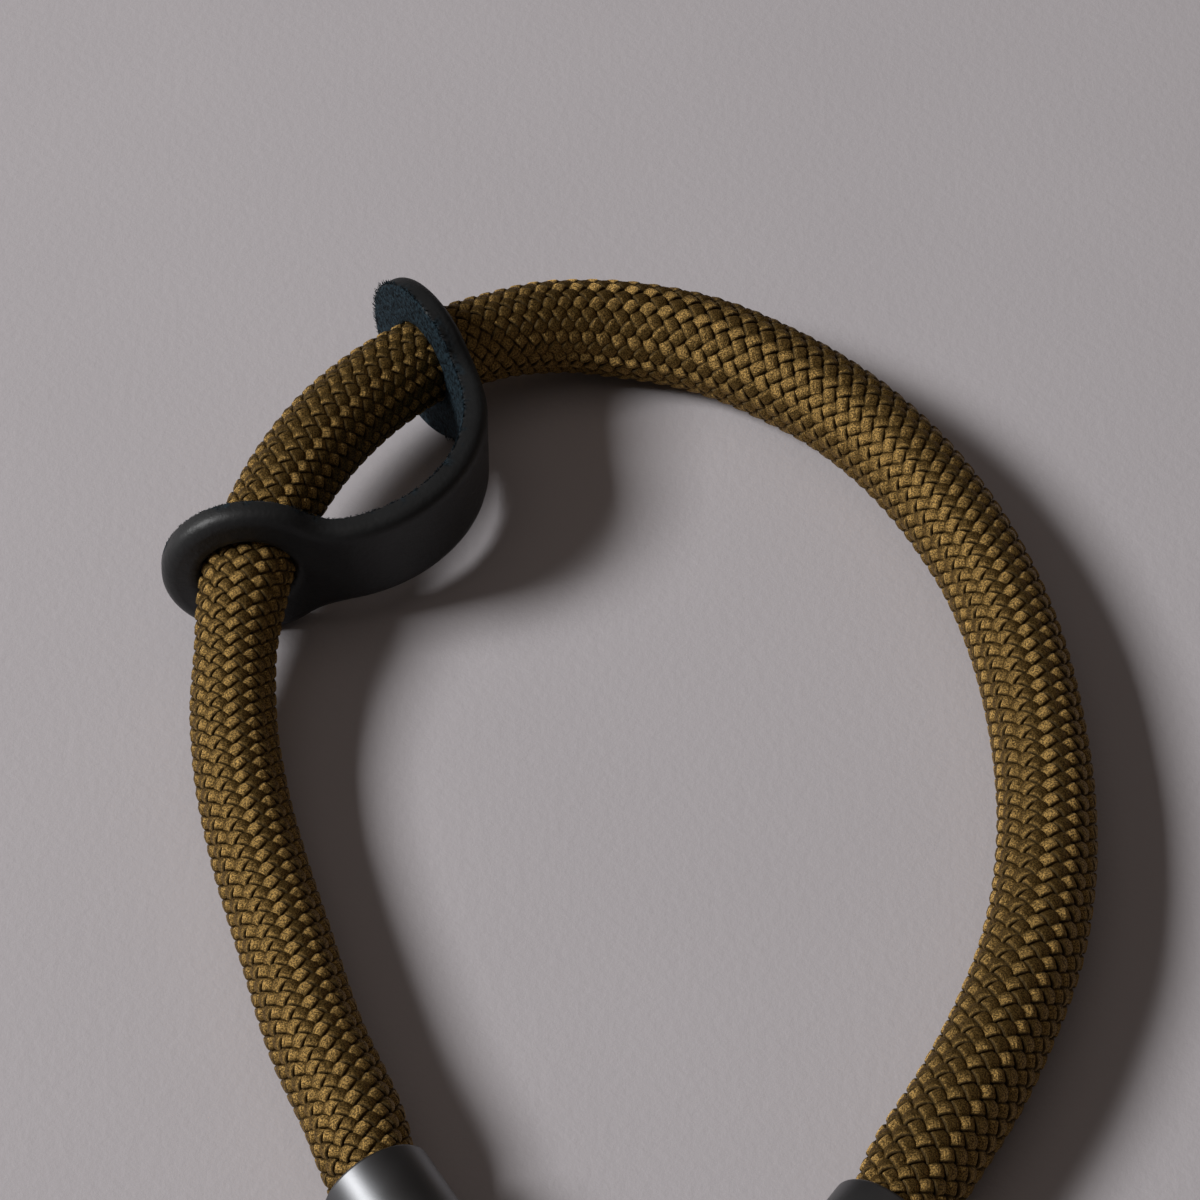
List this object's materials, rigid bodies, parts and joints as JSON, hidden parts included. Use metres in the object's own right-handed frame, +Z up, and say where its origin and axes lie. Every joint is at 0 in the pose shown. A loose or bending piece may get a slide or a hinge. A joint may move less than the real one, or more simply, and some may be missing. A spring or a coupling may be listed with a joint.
{
  "type": "phone wrist strap",
  "caption": "Wrist loop of thick braided cord with a bent leather slider that sets its size, capped cord ends and a plain ring for a phone's tether.",
  "frame": {"origin": "on the surface that the strap lies on, under the middle of its box", "axes": "+Y from the ring towards the top of the loop, +X to the right seen from above with the ring nearest, +Z up"},
  "size_m": [0.0707, 0.1231, 0.0134],
  "materials": {
    "braid": "braided synthetic yarn, olive brown, soft sheen",
    "leather": "black grain outside, blue-black suede inside",
    "cap": "dark gunmetal plating, satin",
    "ring": "dark gunmetal plating, satin"
  },
  "bodies": {
    "root": {"cord": "braid", "slider": "leather", "end_cap_left": "cap", "end_cap_right": "cap", "joining_ring": "ring"}
  },
  "joints": []
}
